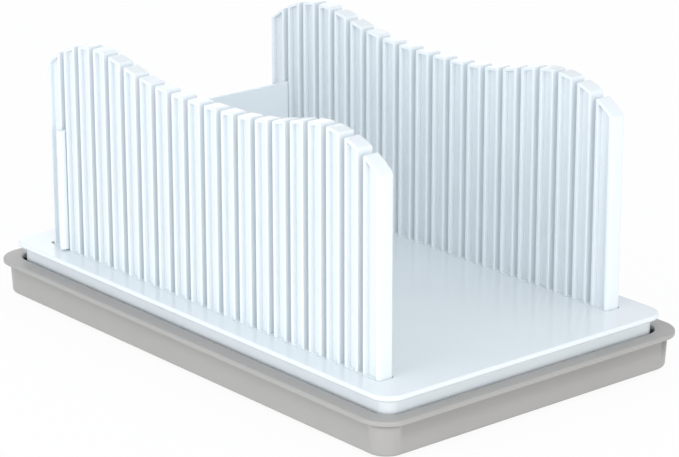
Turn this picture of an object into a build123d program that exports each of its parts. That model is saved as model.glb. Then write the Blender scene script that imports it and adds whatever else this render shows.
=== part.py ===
from build123d import *
import os

# Bread slicer guide: two slotted comb guides and a loaf stop plugged into a deck
# that sits in a crumb tray. Millimetres, +Z up. The origin is on the table,
# under the middle of the crumb tray. X runs along the loaf, and its positive end
# is the open end. Y runs across the loaf, and the far comb is on its positive side.

os.makedirs("parts", exist_ok=True)

# ---------------------------------------------------------------- driving sizes
# Knife slots of a comb
slot_pitch = 13.0             # the thickness of a slice
slot_width = 3.7

# Comb
comb_thickness = 9.0
comb_end_inset = 20.2         # deck's edge to the comb's end
comb_side_inset = 13.1        # deck's edge to the comb's outer face
comb_foot_depth = 9.0         # how far a comb's foot reaches below the deck's top
comb_end_radius = 1.9         # rounding of a comb's four upright end edges
foot_lead_in = 0.8            # chamfer round the bottom of the foot

# Wave of the comb's top edge: the ends stand end_height above the deck, the crowns
# rise from them, and the waists and the valley in the middle lie below the crowns
end_height = 97.1
end_drop_rate = 0.85          # fall per millimetre run where the edge meets the end
crown_rise = 15.6
crown_from_end = 39.3
waist_fall = 5.9
waist_from_middle = 55.0
valley_fall = 9.8

# Sunk panel on both faces of every finger
panel_side_border = 1.7
panel_end_border = 2.5        # at the comb's ends
panel_top_border = 1.6
panel_depth = 2.6

# Loaf stop
stop_thickness = 3.0
stop_height = 64.5
stop_slot = 1                 # the knife slot that holds it, counted from the rear
bead_radius = 2.3             # round bead down each end, outside the combs
bead_clearance = 0.2          # bead to the corners of the slot's mouth
bead_bottom_gap = 0.7         # bead's lower end to the deck

# Deck
deck_end_inset = 6.5          # tray's rim to the deck's edge at each end
deck_side_inset = 7.4         # tray's rim to the deck's edge at each side
deck_corner_radius = 11.0
deck_thickness = 2.8
deck_lip_overhang = 4.0       # rim of the plate beyond the skirt
deck_edge_radius = 1.2
skirt_wall = 2.2
groove_side_clearance = 0.3
groove_front_clearance = 0.4
groove_rear_clearance = 2.2
groove_wall = 2.0
groove_floor = 1.8
rib_thickness = 1.8
rib_depth = 9.0
rib_count = 5

# Crumb tray
tray_length = 314.0
tray_width = 196.2
tray_corner_radius = 15.0
tray_height = 19.1            # underside of the tray to the top of its rim
tray_wall = 2.2
tray_floor = 2.4
rim_thickness = 2.4
rim_overhang = 3.5            # rim beyond the top of the tray's wall
rim_edge_radius = 0.9
wall_lean = 1.0               # how far the wall steps in from top to bottom
tray_bottom_radius = 2.0
deck_rise = 8.9               # deck's top above the rim's top
well_clearance = 2.2          # skirt to the inner edge of the rim

# Non-slip feet
foot_radius = 7.0
foot_thickness = 1.9
foot_proud = 1.0              # how far a foot stands out below the tray
foot_clearance = 0.1
foot_inset = 24.0             # foot's centre from the tray's rim, along X and Y

# ---------------------------------------------------------------- worked out
tray_bottom = foot_proud
rim_top = tray_bottom + tray_height
rim_bottom = rim_top - rim_thickness
floor_top = tray_bottom + tray_floor
deck_top = rim_top + deck_rise
deck_bottom = deck_top - deck_thickness

# The tray carries the deck, the deck carries the combs, and a comb has as many
# slots as its length takes: 19 here
deck_length = tray_length - 2 * deck_end_inset
deck_width = tray_width - 2 * deck_side_inset
loaf_width = deck_width - 2 * (comb_side_inset + comb_thickness)
comb_length = deck_length - 2 * comb_end_inset
comb_half = comb_length / 2
finger_width = slot_pitch - slot_width
slot_count = int((comb_length - finger_width) / slot_pitch)
slots_span = (slot_count - 1) * slot_pitch + slot_width
comb_foot_bottom = deck_top - comb_foot_depth
comb_middle_y = (loaf_width + comb_thickness) / 2
comb_outer_y = loaf_width / 2 + comb_thickness
sides = {"near": -1, "far": 1}

# A comb is cut from a blank that stands higher than its wavy top edge
crown_height = end_height + crown_rise
waist_height = crown_height - waist_fall
valley_height = crown_height - valley_fall
blank_height = crown_height + comb_thickness / 2

finger_panel = finger_width - 2 * panel_side_border
end_panel_inner = slots_span / 2 + panel_side_border
end_panel_outer = comb_half - panel_end_border
end_panel_x = (end_panel_inner + end_panel_outer) / 2

skirt_length = deck_length - 2 * deck_lip_overhang
skirt_width = deck_width - 2 * deck_lip_overhang
skirt_corner_radius = deck_corner_radius - deck_lip_overhang
skirt_height = deck_bottom - floor_top
well_length = skirt_length + 2 * well_clearance
well_width = skirt_width + 2 * well_clearance
well_corner_radius = skirt_corner_radius + well_clearance

groove_rear = -comb_half - groove_rear_clearance
groove_front = comb_half + groove_front_clearance
groove_length = groove_front - groove_rear
groove_middle_x = (groove_front + groove_rear) / 2
groove_width = comb_thickness + 2 * groove_side_clearance

stop_x = (stop_slot - (slot_count + 1) / 2) * slot_pitch
slot_corner = slot_width / 2
bead_reach = bead_radius + bead_clearance
bead_offset = (bead_reach**2 - slot_corner**2) ** 0.5
bead_y = comb_outer_y + bead_offset


def clear_above_wave(drop, mode):
    """Fill the sketch above the comb's wavy top edge, lowered by drop."""
    crown_x = comb_half - crown_from_end
    run_out = comb_thickness
    ceiling = deck_top + crown_height + run_out
    wave = [
        (-comb_half, deck_top + end_height - drop),
        (-crown_x, deck_top + crown_height - drop),
        (-waist_from_middle, deck_top + waist_height - drop),
        (0, deck_top + valley_height - drop),
        (waist_from_middle, deck_top + waist_height - drop),
        (crown_x, deck_top + crown_height - drop),
        (comb_half, deck_top + end_height - drop),
    ]
    # The end tangents are left unscaled, or the edge would bulge beyond the crown
    with BuildLine() as outline:
        edge = Spline(
            *wave,
            tangents=[(1, end_drop_rate), (1, -end_drop_rate)],
            tangent_scalars=[1, 1],
        )
        Polyline(
            edge @ 1,
            (comb_half + run_out, deck_top + end_height - drop),
            (comb_half + run_out, ceiling),
            (-comb_half - run_out, ceiling),
            (-comb_half - run_out, deck_top + end_height - drop),
            edge @ 0,
        )
    make_face(outline.edges(), mode=mode)


# ---------------------------------------------------------------- comb guides
for side_name, side in sides.items():
    comb_y = side * comb_middle_y
    with BuildPart() as comb:
        # Blank with rounded upright end edges
        with BuildSketch(Plane((0, comb_y, comb_foot_bottom))):
            RectangleRounded(comb_length, comb_thickness, comb_end_radius)
        extrude(amount=comb_foot_depth + blank_height)
        chamfer(comb.faces().sort_by(Axis.Z)[0].edges(), foot_lead_in)

        # Wavy top edge
        with BuildSketch(Plane((0, comb_y, 0), x_dir=(1, 0, 0), z_dir=(0, -1, 0))):
            clear_above_wave(0, Mode.ADD)
        extrude(amount=comb_thickness, both=True, mode=Mode.SUBTRACT)

        # Knife slots, open at the top and cut down to the deck's level
        with BuildSketch(Plane((0, comb_y, deck_top))):
            with GridLocations(slot_pitch, 0, slot_count, 1):
                Rectangle(slot_width, 2 * comb_thickness)
        extrude(amount=blank_height, mode=Mode.SUBTRACT)

        # Sunk panels on both faces; each follows the wave under its top border
        for face_side in (-1, 1):
            face = Plane(
                (0, comb_y + face_side * comb_thickness / 2, 0),
                x_dir=(1, 0, 0),
                z_dir=(0, -1, 0),
            )
            with BuildSketch(face):
                panel_middle_z = deck_top + blank_height / 2
                with Locations((0, panel_middle_z)):
                    with GridLocations(slot_pitch, 0, slot_count - 1, 1):
                        Rectangle(finger_panel, blank_height)
                with Locations((-end_panel_x, panel_middle_z), (end_panel_x, panel_middle_z)):
                    Rectangle(end_panel_outer - end_panel_inner, blank_height)
                clear_above_wave(panel_top_border, Mode.SUBTRACT)
            extrude(amount=face_side * panel_depth, mode=Mode.SUBTRACT)

    comb.part.label = f"{side_name}_comb"
    export_step(comb.part, f"parts/{side_name}_comb.step")

# ---------------------------------------------------------------- loaf stop
with BuildPart() as stop_plate:
    # Plate across the channel, standing in one knife slot of each comb
    with BuildSketch(Plane((stop_x, 0, deck_top), x_dir=(0, 1, 0), z_dir=(1, 0, 0))):
        with Locations((0, stop_height / 2)):
            Rectangle(2 * bead_y, stop_height)
    extrude(amount=stop_thickness / 2, both=True)
    # The plate is cut back under the beads, which stop short of the deck
    with BuildSketch(Plane.XY.offset(deck_top)):
        with Locations((stop_x, -bead_y), (stop_x, bead_y)):
            Rectangle(2 * bead_radius, 2 * bead_offset)
    extrude(amount=bead_bottom_gap, mode=Mode.SUBTRACT)
    # Round beads outside the combs
    with BuildSketch(Plane.XY.offset(deck_top + bead_bottom_gap)):
        with Locations((stop_x, -bead_y), (stop_x, bead_y)):
            Circle(bead_radius)
    extrude(amount=stop_height - bead_bottom_gap)

stop_plate.part.label = "stop_plate"
export_step(stop_plate.part, "parts/stop_plate.step")

# ---------------------------------------------------------------- deck
with BuildPart() as deck:
    # Plate with a rounded edge that overhangs the skirt all round
    with BuildSketch(Plane.XY.offset(deck_bottom)):
        RectangleRounded(deck_length, deck_width, deck_corner_radius)
    extrude(amount=deck_thickness)
    fillet(deck.faces().filter_by(Axis.Z).edges(), deck_edge_radius)

    # Skirt that stands on the tray's floor
    with BuildSketch(Plane.XY.offset(floor_top)):
        RectangleRounded(skirt_length, skirt_width, skirt_corner_radius)
        RectangleRounded(
            skirt_length - 2 * skirt_wall,
            skirt_width - 2 * skirt_wall,
            skirt_corner_radius - skirt_wall,
            mode=Mode.SUBTRACT,
        )
    extrude(amount=skirt_height)

    # Stiffening ribs across the underside
    with BuildSketch(Plane.XY.offset(deck_bottom - rib_depth)):
        with GridLocations(skirt_length / (rib_count + 1), 0, rib_count, 1):
            Rectangle(rib_thickness, skirt_width - skirt_wall)
    extrude(amount=rib_depth)

    # Troughs under the plate, and the grooves in them that take the combs' feet
    groove_places = [(groove_middle_x, side * comb_middle_y) for side in sides.values()]
    with BuildSketch(Plane.XY.offset(comb_foot_bottom - groove_floor)):
        with Locations(*groove_places):
            Rectangle(groove_length + 2 * groove_wall, groove_width + 2 * groove_wall)
    extrude(amount=comb_foot_depth + groove_floor - deck_thickness)
    with BuildSketch(Plane.XY.offset(comb_foot_bottom)):
        with Locations(*groove_places):
            RectangleRounded(groove_length, groove_width, comb_end_radius)
    extrude(amount=comb_foot_depth, mode=Mode.SUBTRACT)

deck.part.label = "deck"
export_step(deck.part, "parts/deck.step")

# ---------------------------------------------------------------- crumb tray
wall_height = rim_bottom - tray_bottom
wall_top_inset = 2 * rim_overhang
wall_bottom_inset = wall_top_inset + 2 * wall_lean
corner_inset = rim_overhang + wall_lean

with BuildPart() as crumb_tray:
    # Body, a loft from the smaller bottom outline to the outline under the rim
    with BuildSketch(Plane.XY.offset(tray_bottom)):
        RectangleRounded(
            tray_length - wall_bottom_inset,
            tray_width - wall_bottom_inset,
            tray_corner_radius - corner_inset,
        )
    with BuildSketch(Plane.XY.offset(rim_bottom)):
        RectangleRounded(
            tray_length - wall_top_inset,
            tray_width - wall_top_inset,
            tray_corner_radius - rim_overhang,
        )
    loft(ruled=True)
    fillet(crumb_tray.faces().sort_by(Axis.Z)[0].edges(), tray_bottom_radius)

    # Rim, a flat flange all round
    with BuildSketch(Plane.XY.offset(rim_bottom)):
        RectangleRounded(tray_length, tray_width, tray_corner_radius)
    extrude(amount=rim_thickness)

    # Cavity under the rim, one wall thickness inside the body
    cavity_rise = tray_floor / wall_height * wall_lean
    with BuildSketch(Plane.XY.offset(floor_top)):
        RectangleRounded(
            tray_length - wall_bottom_inset + 2 * cavity_rise - 2 * tray_wall,
            tray_width - wall_bottom_inset + 2 * cavity_rise - 2 * tray_wall,
            tray_corner_radius - corner_inset + cavity_rise - tray_wall,
        )
    with BuildSketch(Plane.XY.offset(rim_bottom)):
        RectangleRounded(
            tray_length - wall_top_inset - 2 * tray_wall,
            tray_width - wall_top_inset - 2 * tray_wall,
            tray_corner_radius - rim_overhang - tray_wall,
        )
    loft(ruled=True, mode=Mode.SUBTRACT)

    # Well opening in the rim, round the deck's skirt, and both top edges rounded
    with BuildSketch(Plane.XY.offset(rim_bottom)):
        RectangleRounded(well_length, well_width, well_corner_radius)
    extrude(amount=rim_thickness, mode=Mode.SUBTRACT)
    fillet(crumb_tray.faces().sort_by(Axis.Z)[-1].edges(), rim_edge_radius)

    # Recesses for the feet
    foot_x = tray_length / 2 - foot_inset
    foot_y = tray_width / 2 - foot_inset
    with BuildSketch(Plane.XY.offset(tray_bottom)):
        with GridLocations(2 * foot_x, 2 * foot_y, 2, 2):
            Circle(foot_radius + foot_clearance)
    extrude(amount=foot_thickness - foot_proud, mode=Mode.SUBTRACT)

crumb_tray.part.label = "crumb_tray"
export_step(crumb_tray.part, "parts/crumb_tray.step")

# ---------------------------------------------------------------- non-slip feet
foot_places = {
    "rear_near": (-foot_x, -foot_y),
    "rear_far": (-foot_x, foot_y),
    "front_near": (foot_x, -foot_y),
    "front_far": (foot_x, foot_y),
}
for place_name, (place_x, place_y) in foot_places.items():
    with BuildPart() as foot:
        with BuildSketch(Plane((place_x, place_y, 0))):
            Circle(foot_radius)
        extrude(amount=foot_thickness)
    foot.part.label = f"tray_foot_{place_name}"
    export_step(foot.part, f"parts/tray_foot_{place_name}.step")
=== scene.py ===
import math

import bmesh
import bpy
import numpy
from mathutils import Matrix, Vector


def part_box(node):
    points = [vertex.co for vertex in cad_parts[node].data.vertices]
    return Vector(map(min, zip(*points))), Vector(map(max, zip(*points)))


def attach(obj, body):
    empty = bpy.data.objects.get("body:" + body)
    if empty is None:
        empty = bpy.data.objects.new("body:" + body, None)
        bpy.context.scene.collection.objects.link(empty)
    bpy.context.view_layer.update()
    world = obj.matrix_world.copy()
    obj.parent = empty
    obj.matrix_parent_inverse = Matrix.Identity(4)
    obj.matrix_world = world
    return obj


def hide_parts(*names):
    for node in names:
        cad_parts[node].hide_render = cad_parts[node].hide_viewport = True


# Bread slicer guide: its looks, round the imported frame. Metres, +Z up, the origin
# on the table under the middle of the crumb tray.

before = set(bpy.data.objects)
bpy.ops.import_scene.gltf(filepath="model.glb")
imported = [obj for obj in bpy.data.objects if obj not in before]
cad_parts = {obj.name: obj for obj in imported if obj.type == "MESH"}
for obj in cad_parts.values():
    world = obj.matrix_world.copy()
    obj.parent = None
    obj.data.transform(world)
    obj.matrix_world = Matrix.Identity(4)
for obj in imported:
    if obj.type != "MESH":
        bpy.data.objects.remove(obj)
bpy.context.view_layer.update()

MM = 0.001

# ------------------------------------------------------------------ camera
IMAGE_WIDTH = 679
FOCAL_PX = 2824.88
SENSOR_MM = 36.0
CAMERA_AT = Vector((1.03786, -0.86157, 0.49506))
CAMERA_AZIMUTH = math.radians(50.03)
CAMERA_ELEVATION = math.radians(18.14)
CAMERA_ROLL = math.radians(-0.06)
CLIP_START = 0.05
CLIP_END = 50


def make_camera():
    azimuth, elevation = CAMERA_AZIMUTH, CAMERA_ELEVATION
    back = Vector(
        (
            math.sin(azimuth) * math.cos(elevation),
            -math.cos(azimuth) * math.cos(elevation),
            math.sin(elevation),
        )
    )
    right = Vector((math.cos(azimuth), math.sin(azimuth), 0))
    up = back.cross(right)
    turn = Matrix((right, up, back)).transposed() @ Matrix.Rotation(CAMERA_ROLL, 3, "Z")
    data = bpy.data.cameras.new("camera")
    data.sensor_fit = "HORIZONTAL"
    data.sensor_width = SENSOR_MM
    data.lens = FOCAL_PX * SENSOR_MM / IMAGE_WIDTH
    data.clip_start = CLIP_START
    data.clip_end = CLIP_END
    camera = bpy.data.objects.new("camera", data)
    camera.matrix_world = Matrix.Translation(CAMERA_AT) @ turn.to_4x4()
    bpy.context.scene.collection.objects.link(camera)
    bpy.context.scene.camera = camera


# ------------------------------------------------------------------ materials
# Most of a noise's values lie between these two
NOISE_LOW = 0.3
NOISE_HIGH = 0.7

# Noise sizes are in cells per metre, relief depths in metres
CLOUD_SCALE = 14
SMEAR_SCALE = 30
FLOW_SCALE = 16
FLOW_DEPTH = 0.0006
SKIN_SCALE = 1400
SKIN_DEPTH = 0.00004
PLASTIC_IOR = 1.5
COAT_ROUGHNESS = 0.08
DUST_SCALE = 900
DUST_DEPTH = 0.0001


def node_material(name):
    material = bpy.data.materials.new(name)
    material.use_nodes = True
    tree = material.node_tree
    shader = tree.nodes["Principled BSDF"]
    return material, tree, shader


def object_noise(tree, scale, detail, stretch=(1, 1, 1)):
    """Noise in the piece's own space."""
    place = tree.nodes.new("ShaderNodeTexCoord")
    mapping = tree.nodes.new("ShaderNodeMapping")
    mapping.inputs["Scale"].default_value = stretch
    noise = tree.nodes.new("ShaderNodeTexNoise")
    noise.inputs["Scale"].default_value = scale
    noise.inputs["Detail"].default_value = detail
    tree.links.new(place.outputs["Object"], mapping.inputs["Vector"])
    tree.links.new(mapping.outputs["Vector"], noise.inputs["Vector"])
    return noise


def tint(tree, noise, low, high, shader):
    """Base colour that follows a noise between two colours."""
    node = tree.nodes.new("ShaderNodeValToRGB")
    first, last = node.color_ramp.elements
    first.position = NOISE_LOW
    first.color = (*low, 1)
    last.position = NOISE_HIGH
    last.color = (*high, 1)
    tree.links.new(noise.outputs["Fac"], node.inputs["Fac"])
    tree.links.new(node.outputs["Color"], shader.inputs["Base Color"])


def value_range(tree, noise, low, high):
    """A noise's value spread between two numbers."""
    node = tree.nodes.new("ShaderNodeMapRange")
    node.inputs["From Min"].default_value = NOISE_LOW
    node.inputs["From Max"].default_value = NOISE_HIGH
    node.inputs["To Min"].default_value = low
    node.inputs["To Max"].default_value = high
    tree.links.new(noise.outputs["Fac"], node.inputs["Value"])
    return node


def relief(tree, noise, strength, depth):
    """Bump whose height follows a noise."""
    node = tree.nodes.new("ShaderNodeBump")
    node.inputs["Strength"].default_value = strength
    node.inputs["Distance"].default_value = depth
    tree.links.new(noise.outputs["Fac"], node.inputs["Height"])
    return node


def moulded_plastic(name, low, high, roughness, skin_bump, flow_bump, coat):
    """Injection-moulded plastic: slightly cloudy colour, faint flow waves, a fine skin."""
    material, tree, shader = node_material(name)
    tint(tree, object_noise(tree, CLOUD_SCALE, 3), low, high, shader)

    smear = object_noise(tree, SMEAR_SCALE, 4, (1, 1, 0.35))
    gloss = value_range(tree, smear, *roughness)
    tree.links.new(gloss.outputs["Result"], shader.inputs["Roughness"])

    flow = object_noise(tree, FLOW_SCALE, 1, (1, 1, 0.5))
    wave = relief(tree, flow, flow_bump, FLOW_DEPTH)
    skin = relief(tree, object_noise(tree, SKIN_SCALE, 2), skin_bump, SKIN_DEPTH)
    tree.links.new(wave.outputs["Normal"], skin.inputs["Normal"])
    tree.links.new(skin.outputs["Normal"], shader.inputs["Normal"])

    shader.inputs["IOR"].default_value = PLASTIC_IOR
    shader.inputs["Coat Weight"].default_value = coat
    shader.inputs["Coat Roughness"].default_value = COAT_ROUGHNESS
    return material


def foot_rubber():
    """Dark dusty rubber."""
    material, tree, shader = node_material("foot_rubber")
    dust = object_noise(tree, DUST_SCALE, 6)
    tint(tree, dust, (0.045, 0.045, 0.048), (0.085, 0.085, 0.09), shader)
    grain = relief(tree, dust, 0.5, DUST_DEPTH)
    tree.links.new(grain.outputs["Normal"], shader.inputs["Normal"])
    shader.inputs["Roughness"].default_value = 0.8
    return material


white = moulded_plastic(
    "white_moulded",
    low=(0.79, 0.845, 0.885),
    high=(0.81, 0.865, 0.905),
    roughness=(0.20, 0.27),
    skin_bump=0.06,
    flow_bump=0.01,
    coat=0.35,
)
grey = moulded_plastic(
    "grey_moulded",
    low=(0.385, 0.378, 0.369),
    high=(0.41, 0.402, 0.393),
    roughness=(0.38, 0.46),
    skin_bump=0.2,
    flow_bump=0.02,
    coat=0.05,
)
rubber = foot_rubber()


# ------------------------------------------------------------------ pieces
# Edges that turn more than this are sharp ones
SHARP_ANGLE = math.radians(40)


def finish_piece(name, mesh, body, node, material):
    """Link a mesh as the piece that stands for a CAD node."""
    mesh.materials.clear()
    mesh.materials.append(material)
    piece = bpy.data.objects.new(name, mesh)
    bpy.context.scene.collection.objects.link(piece)
    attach(piece, body)
    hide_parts(node)
    return piece


def round_edges(piece, width, segments=3, method="WEIGHT"):
    """Rounded edges, with the flat faces kept flat in shading."""
    bevel = piece.modifiers.new("moulded_edges", "BEVEL")
    bevel.width = width * MM
    bevel.segments = segments
    bevel.limit_method = method
    bevel.angle_limit = SHARP_ANGLE
    bevel.use_clamp_overlap = False
    normals = piece.modifiers.new("even_shading", "WEIGHTED_NORMAL")
    normals.keep_sharp = True


# Levels of the solids, in millimetres
RIM_THICKNESS = 2.4
deck_low, deck_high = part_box("deck")
tray_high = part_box("crumb_tray")[1]
DECK_TOP = deck_high[2] / MM
SKIRT_BOTTOM = deck_low[2] / MM
RIM_UNDERSIDE = tray_high[2] / MM - RIM_THICKNESS

# Comb: sizes in millimetres, as in the solid. Heights are above the deck.
SLOT_PITCH = 13.0
SLOT_WIDTH = 3.7
SLOT_COUNT = 19
END_RADIUS = 1.9
LEAD_IN = 0.8
SIDE_BORDER = 1.7
END_BORDER = 2.5
TOP_BORDER = 1.6
PANEL_DEPTH = 2.6
END_HEIGHT = 97.1
END_DROP_RATE = 0.85
CROWN_RISE = 15.6
CROWN_FROM_END = 39.3
WAIST_FALL = 5.9
WAIST_FROM_MIDDLE = 55.0
VALLEY_FALL = 9.8

# How finely the mesh follows the wave, the panels and the rounded end edges
WAVE_STEPS = 60
PANEL_STEPS = 6
END_ARC_DEGREES = (0, 25, 50)

# Rounding of the comb's edges. Two that meet on a narrow border stay within its width.
TOP_ROUNDING = 0.8
EDGE_ROUNDING = 0.35
END_ROUNDING = 0.4
PANEL_ROUNDING = 0.3
INNER_ROUNDING = 0.45
SLIGHT_ANGLE = math.radians(25)

# Tolerances for telling the edges apart
ROUNDOFF = 1e-6
TOUCHING = 0.01
NEARBY = 0.1


def wave_knots(length):
    """Points that the top edge passes through: distance from the rear end and height."""
    crown = END_HEIGHT + CROWN_RISE
    waist = crown - WAIST_FALL
    valley = crown - VALLEY_FALL
    middle = length / 2
    return numpy.array(
        [
            (0, END_HEIGHT),
            (CROWN_FROM_END, crown),
            (middle - WAIST_FROM_MIDDLE, waist),
            (middle, valley),
            (middle + WAIST_FROM_MIDDLE, waist),
            (length - CROWN_FROM_END, crown),
            (length, END_HEIGHT),
        ]
    )


def wave_slopes(knots, gaps):
    """The smooth cubic spline's slope at each knot, with the slopes of its ends given."""
    count = len(knots)
    rows = numpy.eye(count)
    target = numpy.zeros((count, 2))
    end_slopes = numpy.array([(1, END_DROP_RATE), (1, -END_DROP_RATE)])
    target[0], target[-1] = end_slopes / math.hypot(1, END_DROP_RATE)
    for i in range(1, count - 1):
        before, after = gaps[i - 1], gaps[i]
        rows[i, i - 1 : i + 2] = after, 2 * (before + after), before
        rise_in = (knots[i] - knots[i - 1]) / before
        rise_out = (knots[i + 1] - knots[i]) / after
        target[i] = 3 * (after * rise_in + before * rise_out)
    return numpy.linalg.solve(rows, target)


def wave_line(length):
    """Points along the comb's top edge from its rear end: distance and height."""
    knots = wave_knots(length)
    gaps = numpy.linalg.norm(numpy.diff(knots, axis=0), axis=1)
    slopes = wave_slopes(knots, gaps)
    points = []
    for i, gap in enumerate(gaps):
        for t in numpy.linspace(0, 1, WAVE_STEPS, endpoint=False):
            points.append(
                (2 * t**3 - 3 * t**2 + 1) * knots[i]
                + (t**3 - 2 * t**2 + t) * gap * slopes[i]
                + (3 * t**2 - 2 * t**3) * knots[i + 1]
                + (t**3 - t**2) * gap * slopes[i + 1]
            )
    points.append(knots[-1])
    return numpy.array(points)


class Comb:
    """A comb's mesh, made of quads: fingers with sunk panels on one long foot.

    A column holds the points of one place along the comb: for each of the two faces
    (0 towards -Y, 1 towards +Y) the levels from the deck up, the panel's sunk points
    where there is a panel, and the foot's points below the deck's surface.
    """

    def __init__(self, node):
        low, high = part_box(node)
        self.half = high[0] / MM
        self.faces_y = (low[1] / MM, high[1] / MM)
        self.foot_z = low[2] / MM
        self.line = wave_line(2 * self.half)
        self.work = bmesh.new()

    def height(self, x):
        """Top edge's height at x."""
        return DECK_TOP + float(numpy.interp(x + self.half, self.line[:, 0], self.line[:, 1]))

    def point(self, x, y, z):
        return self.work.verts.new((x * MM, y * MM, z * MM))

    def quad(self, *corners):
        self.work.faces.new(corners)

    def is_end(self, x):
        return abs(abs(x) - self.half) < ROUNDOFF

    def step_back(self, x):
        """How far the rounded upright end edge sets a face back at x."""
        beyond = abs(x) - (self.half - END_RADIUS)
        if beyond <= 0:
            return 0.0
        return END_RADIUS - math.sqrt(max(END_RADIUS**2 - beyond**2, 0))

    def stations(self, left, right):
        """Places along a finger, and the span of its panel."""
        borders = [END_BORDER if self.is_end(x) else SIDE_BORDER for x in (left, right)]
        panel = (left + borders[0], right - borders[1])
        places = {left, right}
        places.update(float(x) for x in numpy.linspace(*panel, PANEL_STEPS + 1))
        for end in (-1, 1):
            if self.is_end(max(left * end, right * end)):
                for degrees in END_ARC_DEGREES:
                    reach = END_RADIUS * (1 - math.sin(math.radians(degrees)))
                    places.add(end * (self.half - reach))
        return sorted(places), panel

    def foot_rim(self, x, face, inset):
        """Point on the foot's outline at x, moved in by inset."""
        side = -1 if face == 0 else 1
        beyond = abs(x) - (self.half - END_RADIUS)
        if beyond <= 0:
            return x, self.faces_y[face] - side * inset
        way = beyond / END_RADIUS
        across = math.sqrt(max(1 - way**2, 0))
        radius = END_RADIUS - inset
        centre_x = math.copysign(self.half - END_RADIUS, x)
        centre_y = self.faces_y[face] - side * END_RADIUS
        return centre_x + math.copysign(radius * way, x), centre_y + side * radius * across

    def column(self, x, panel):
        """The points at one place along a finger."""
        top = self.height(x)
        levels = (DECK_TOP, top - TOP_BORDER, top)
        column = {}
        for face, inwards in ((0, 1), (1, -1)):
            y = self.faces_y[face] + inwards * self.step_back(x)
            column[face] = [self.point(x, y, z) for z in levels]
            if panel[0] - ROUNDOFF <= x <= panel[1] + ROUNDOFF:
                sunk_y = self.faces_y[face] + inwards * PANEL_DEPTH
                column["sunk", face] = [self.point(x, sunk_y, z) for z in levels[:2]]
            column["foot", face] = [
                self.point(*self.foot_rim(x, face, 0), self.foot_z + LEAD_IN),
                self.point(*self.foot_rim(x, face, LEAD_IN), self.foot_z),
            ]
        return column

    def finger(self, left, right):
        """One finger with the foot under it. Returns its first and last columns."""
        places, panel = self.stations(left, right)
        columns = [self.column(x, panel) for x in places]

        for here, there in zip(columns, columns[1:]):
            for face in (0, 1):
                a, b = here[face], there[face]
                self.quad(a[1], b[1], b[2], a[2])
                if ("sunk", face) in here and ("sunk", face) in there:
                    c, d = here["sunk", face], there["sunk", face]
                    self.quad(c[0], d[0], d[1], c[1])
                    self.quad(a[1], b[1], d[1], c[1])
                    self.quad(a[0], b[0], d[0], c[0])
                else:
                    self.quad(a[0], b[0], b[1], a[1])
            self.quad(here[0][2], there[0][2], there[1][2], here[1][2])
            self.foot_span(here, there)
        for face in (0, 1):
            sunk = [column for column in columns if ("sunk", face) in column]
            for column in (sunk[0], sunk[-1]):
                a, c = column[face], column["sunk", face]
                self.quad(a[0], a[1], c[1], c[0])
        for column in (columns[0], columns[-1]):
            near, far = column[0], column[1]
            self.quad(near[0], far[0], far[1], near[1])
            self.quad(near[1], far[1], far[2], near[2])
        return columns[0], columns[-1]

    def foot_span(self, here, there):
        """The foot's faces, chamfer and underside between two columns."""
        for face in (0, 1):
            a, b = here["foot", face], there["foot", face]
            self.quad(here[face][0], there[face][0], b[0], a[0])
            self.quad(a[0], b[0], b[1], a[1])
        near_a, near_b = here["foot", 0][1], there["foot", 0][1]
        far_a, far_b = here["foot", 1][1], there["foot", 1][1]
        self.quad(near_a, near_b, far_b, far_a)

    def foot_end(self, column):
        """The foot's flat end and its chamfer."""
        near, far = column["foot", 0], column["foot", 1]
        self.quad(column[0][0], column[1][0], far[0], near[0])
        self.quad(near[0], far[0], far[1], near[1])

    def rounding(self, edge, angle, sides):
        """How much a sharp edge is rounded."""
        places = [(v.co.x / MM, v.co.z / MM) for v in edge.verts]
        if angle < 0:
            return INNER_ROUNDING
        if all(self.half - abs(x) < NEARBY for x, z in places):
            return END_ROUNDING
        if all(z > self.height(x) - NEARBY for x, z in places):
            return TOP_ROUNDING
        if all(min(abs(x - side) for side in sides) < TOUCHING for x, z in places):
            return EDGE_ROUNDING
        return PANEL_ROUNDING

    def mesh(self, name):
        slots = [(i - (SLOT_COUNT - 1) / 2) * SLOT_PITCH for i in range(SLOT_COUNT)]
        lefts = [-self.half, *(x + SLOT_WIDTH / 2 for x in slots)]
        rights = [*(x - SLOT_WIDTH / 2 for x in slots), self.half]
        fingers = [self.finger(*span) for span in zip(lefts, rights)]
        for (_, here), (there, _) in zip(fingers, fingers[1:]):
            self.quad(here[0][0], there[0][0], there[1][0], here[1][0])
            self.foot_span(here, there)
        self.foot_end(fingers[0][0])
        self.foot_end(fingers[-1][1])

        work = self.work
        bmesh.ops.recalc_face_normals(work, faces=work.faces)
        weights = work.edges.layers.float.new("bevel_weight_edge")
        for face in work.faces:
            face.smooth = True
        for edge in work.edges:
            angle = edge.calc_face_angle_signed()
            if abs(angle) >= SLIGHT_ANGLE:
                edge[weights] = self.rounding(edge, angle, lefts + rights) / TOP_ROUNDING
        mesh = bpy.data.meshes.new(name)
        work.to_mesh(mesh)
        work.free()
        return mesh


for side in ("near", "far"):
    node, name = f"{side}_comb", f"{side}_comb_guide"
    guide = finish_piece(name, Comb(node).mesh(name), node, node, white)
    round_edges(guide, TOP_ROUNDING)


# Copied solids: points this near are one, in metres, and faces this flat are one
WELD = 2e-6
FLAT_ANGLE = math.radians(0.6)

# How far off a level its points may be, and how much edges are rounded, in millimetres
LEVEL_TOLERANCE = 0.02
LEVEL_ROUNDING = 0.3
STOP_ROUNDING = 0.5


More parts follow.
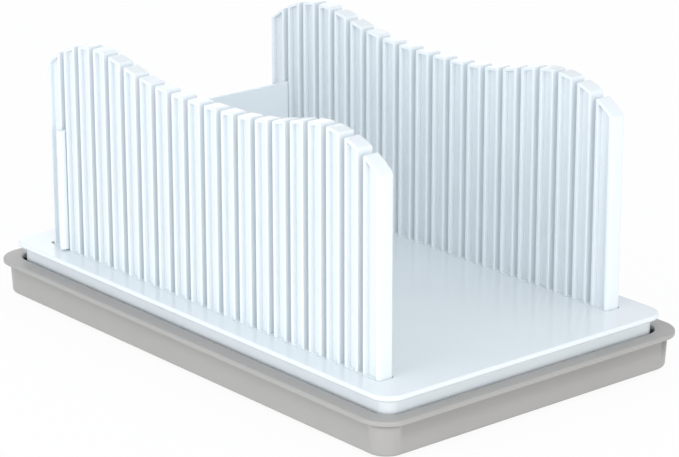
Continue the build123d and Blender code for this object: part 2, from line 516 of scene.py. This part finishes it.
def cad_copy(node, name, levels):
    """A copy of a CAD node's mesh, flat faces joined up, sharp edges marked at some levels."""
    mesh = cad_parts[node].data.copy()
    mesh.name = name
    work = bmesh.new()
    work.from_mesh(mesh)
    bmesh.ops.remove_doubles(work, verts=work.verts, dist=WELD)
    bmesh.ops.dissolve_limit(work, angle_limit=FLAT_ANGLE, verts=work.verts, edges=work.edges)
    work.normal_update()
    weights = work.edges.layers.float.new("bevel_weight_edge")
    for face in work.faces:
        face.smooth = True
    for seam in work.edges:
        angle = seam.calc_face_angle_signed(0)
        heights = [v.co.z / MM for v in seam.verts]
        level = any(max(abs(z - at) for z in heights) < LEVEL_TOLERANCE for at in levels)
        seam[weights] = 1 if level and angle > SHARP_ANGLE else 0
        seam.smooth = level or abs(angle) < SHARP_ANGLE
    work.to_mesh(mesh)
    work.free()
    for attribute in ("custom_normal", "UVMap"):
        if attribute in mesh.attributes:
            mesh.attributes.remove(mesh.attributes[attribute])
    return mesh


deck_mesh = cad_copy("deck", "deck_board", (SKIRT_BOTTOM, DECK_TOP))
board = finish_piece("deck_board", deck_mesh, "deck", "deck", white)
round_edges(board, LEVEL_ROUNDING)

tray_mesh = cad_copy("crumb_tray", "crumb_tray_tub", (RIM_UNDERSIDE,))
tub = finish_piece("crumb_tray_tub", tray_mesh, "tray", "crumb_tray", grey)
round_edges(tub, LEVEL_ROUNDING)

stop_mesh = cad_copy("stop_plate", "loaf_stop", ())
stop = finish_piece("loaf_stop", stop_mesh, "stop_plate", "stop_plate", white)
round_edges(stop, STOP_ROUNDING, method="ANGLE")

# Foot pad: its section from the middle of its face outwards and up, in millimetres,
# with a sunk middle and one ring groove
PAD_SECTION = [
    (0.0, 0.3),
    (2.0, 0.3),
    (2.3, 0.0),
    (3.8, 0.0),
    (4.1, 0.3),
    (4.7, 0.3),
    (5.0, 0.0),
    (6.3, 0.0),
    (6.75, 0.15),
    (6.95, 0.45),
    (7.0, 0.8),
    (7.0, 1.9),
    (0.0, 1.9),
]
PAD_TURNS = 64
PAD_ROUNDING = 0.1


def foot_pad_mesh(name, node):
    """A turned pad that stands on the table."""
    low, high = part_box(node)
    middle_x, middle_y = (low[0] + high[0]) / 2, (low[1] + high[1]) / 2
    turns = [2 * math.pi * i / PAD_TURNS for i in range(PAD_TURNS)]
    work = bmesh.new()
    rings = []
    for r, z in PAD_SECTION:
        # On the axis a ring shrinks to one point
        around = turns if r > 0 else turns[:1]
        ring = [
            work.verts.new(
                (
                    middle_x + r * MM * math.cos(turn),
                    middle_y + r * MM * math.sin(turn),
                    low[2] + z * MM,
                )
            )
            for turn in around
        ]
        rings.append(ring if r > 0 else ring * PAD_TURNS)
    for inner, outer in zip(rings, rings[1:]):
        for i in range(PAD_TURNS):
            corners = (inner[i - 1], inner[i], outer[i], outer[i - 1])
            work.faces.new(list(dict.fromkeys(corners)))
    bmesh.ops.recalc_face_normals(work, faces=work.faces)
    for face in work.faces:
        face.smooth = True
    mesh = bpy.data.meshes.new(name)
    work.to_mesh(mesh)
    work.free()
    return mesh


for end in ("rear", "front"):
    for side in ("near", "far"):
        name, node = f"foot_pad_{end}_{side}", f"tray_foot_{end}_{side}"
        pad = finish_piece(name, foot_pad_mesh(name, node), "tray", node, rubber)
        round_edges(pad, PAD_ROUNDING, segments=2, method="ANGLE")


# ------------------------------------------------------------------ stage and light
FLOOR_SIZE = 12
FLOOR_DROP = 0.0002           # keeps the floor clear of the feet's faces
FLOOR_GLOW = 0.93             # share of plain white in what is seen of the floor
SKY_TINT = (0.96, 0.985, 1.0)
SKY_STRENGTH = 0.87
WARM_TINT = (1, 0.975, 0.945)
LAMP_AIM = Vector((0, 0, 0.06))


def seen_directly(tree):
    """1 for camera, glossy and transmission rays, 0 for the rays that light a surface."""
    path = tree.nodes.new("ShaderNodeLightPath")
    first = tree.nodes.new("ShaderNodeMath")
    first.operation = "MAXIMUM"
    second = tree.nodes.new("ShaderNodeMath")
    second.operation = "MAXIMUM"
    tree.links.new(path.outputs["Is Camera Ray"], first.inputs[0])
    tree.links.new(path.outputs["Is Glossy Ray"], first.inputs[1])
    tree.links.new(first.outputs[0], second.inputs[0])
    tree.links.new(path.outputs["Is Transmission Ray"], second.inputs[1])
    return second


def make_floor():
    """White floor that still takes the object's shadow."""
    bpy.ops.mesh.primitive_plane_add(size=FLOOR_SIZE, location=(0, 0, -FLOOR_DROP))
    floor = bpy.context.object
    floor.name = "floor"
    material, tree, shader = node_material("floor")
    shader.inputs["Base Color"].default_value = (0.9, 0.9, 0.9, 1)
    shader.inputs["Roughness"].default_value = 0.9
    shader.inputs["Specular IOR Level"].default_value = 0.1
    share = tree.nodes.new("ShaderNodeMath")
    share.operation = "MULTIPLY"
    share.inputs[1].default_value = FLOOR_GLOW
    glow = tree.nodes.new("ShaderNodeEmission")
    mix = tree.nodes.new("ShaderNodeMixShader")
    output = tree.nodes["Material Output"]
    tree.links.new(seen_directly(tree).outputs[0], share.inputs[0])
    tree.links.new(share.outputs[0], mix.inputs["Fac"])
    tree.links.new(shader.outputs["BSDF"], mix.inputs[1])
    tree.links.new(glow.outputs["Emission"], mix.inputs[2])
    tree.links.new(mix.outputs["Shader"], output.inputs["Surface"])
    floor.data.materials.append(material)


def make_world():
    """White where it is seen directly or in gloss, a soft pale blue light otherwise."""
    world = bpy.data.worlds.new("studio")
    bpy.context.scene.world = world
    world.use_nodes = True
    tree = world.node_tree
    tree.nodes.clear()
    light = tree.nodes.new("ShaderNodeBackground")
    light.inputs["Color"].default_value = (*SKY_TINT, 1)
    light.inputs["Strength"].default_value = SKY_STRENGTH
    white_sky = tree.nodes.new("ShaderNodeBackground")
    white_sky.inputs["Strength"].default_value = 1
    mix = tree.nodes.new("ShaderNodeMixShader")
    output = tree.nodes.new("ShaderNodeOutputWorld")
    tree.links.new(seen_directly(tree).outputs[0], mix.inputs["Fac"])
    tree.links.new(light.outputs["Background"], mix.inputs[1])
    tree.links.new(white_sky.outputs["Background"], mix.inputs[2])
    tree.links.new(mix.outputs["Shader"], output.inputs["Surface"])


def softbox(name, at, size, power, color=(1, 1, 1)):
    """A square soft light that looks at the middle of the object."""
    data = bpy.data.lights.new(name, "AREA")
    data.shape = "SQUARE"
    data.size = size
    data.energy = power
    data.color = color
    lamp = bpy.data.objects.new(name, data)
    lamp.location = at
    aim = LAMP_AIM - Vector(at)
    lamp.rotation_mode = "QUATERNION"
    lamp.rotation_quaternion = aim.to_track_quat("-Z", "Y")
    bpy.context.scene.collection.objects.link(lamp)


make_camera()
make_floor()
make_world()
softbox("front_left", (0.1, -1.7, 0.45), size=1.0, power=9.5)
softbox("front_right", (1.74, -0.5, 0.45), size=1.0, power=11, color=WARM_TINT)
softbox("back", (-2.0, 1.15, 0.65), size=1.3, power=4)

bpy.context.scene.view_settings.view_transform = "Standard"
